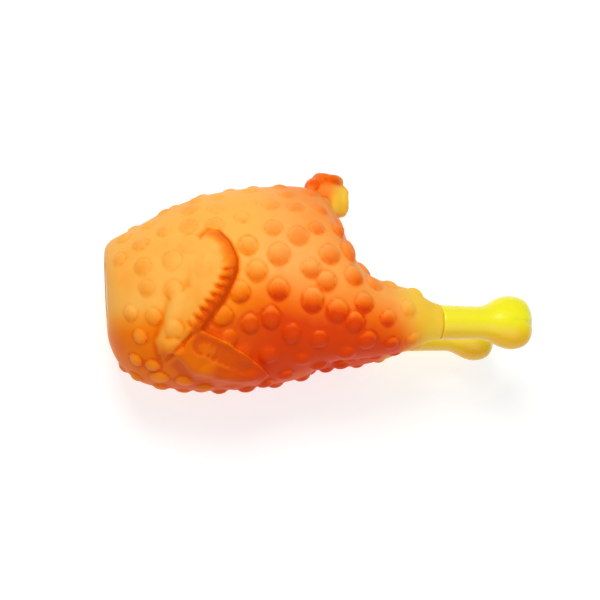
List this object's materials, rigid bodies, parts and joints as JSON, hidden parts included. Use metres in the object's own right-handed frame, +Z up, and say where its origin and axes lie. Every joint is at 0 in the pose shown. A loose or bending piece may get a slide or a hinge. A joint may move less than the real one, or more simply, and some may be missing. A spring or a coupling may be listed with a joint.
{
  "type": "rubber chicken",
  "caption": "Hollow vinyl roast-chicken squeaky toy lying on its side, with folded wings, plug-in leg bones and a reed squeaker in its flat neck end.",
  "frame": {"origin": "middle of the toy's footprint as it lies on its side, at the level it rests on", "axes": "+X from the flat neck end to the leg bones, +Y from the breast to the back and tail, +Z up, across the toy's width"},
  "size_m": [0.2093, 0.1143, 0.0828],
  "materials": {
    "skin": "satin",
    "bone": "glossy",
    "squeaker": "satin",
    "reed_parts": "satin",
    "reed": "glossy"
  },
  "bodies": {
    "body": {"body_shell": "skin", "squeaker_housing": "squeaker", "reed_tube": "reed_parts", "reed_holder": "reed_parts", "reed_wedge": "reed_parts", "squeaker_cap": "squeaker"},
    "near_bone": {"near_bone": "bone"},
    "far_bone": {"far_bone": "bone"},
    "reed": {"reed": "reed"}
  },
  "joints": [
    {"name": "near_bone_swivel", "type": "hinge", "parent": "body", "child": "near_bone", "pos_m": [0.0571, -0.02248, 0.06253], "axis": [0.9991, 0.0192, 0.0384], "continuous": true},
    {"name": "far_bone_swivel", "type": "hinge", "parent": "body", "child": "far_bone", "pos_m": [0.0571, -0.02248, 0.02027], "axis": [0.9991, 0.0192, -0.0384], "continuous": true},
    {"name": "reed_beat", "type": "hinge", "parent": "body", "child": "reed", "pos_m": [-0.09488, -0.00946, 0.04153], "axis": [0.0872, -0.9962, 0], "range_deg": [-3.8, 0], "stiffness_Nm_per_rad": 0.001}
  ]
}
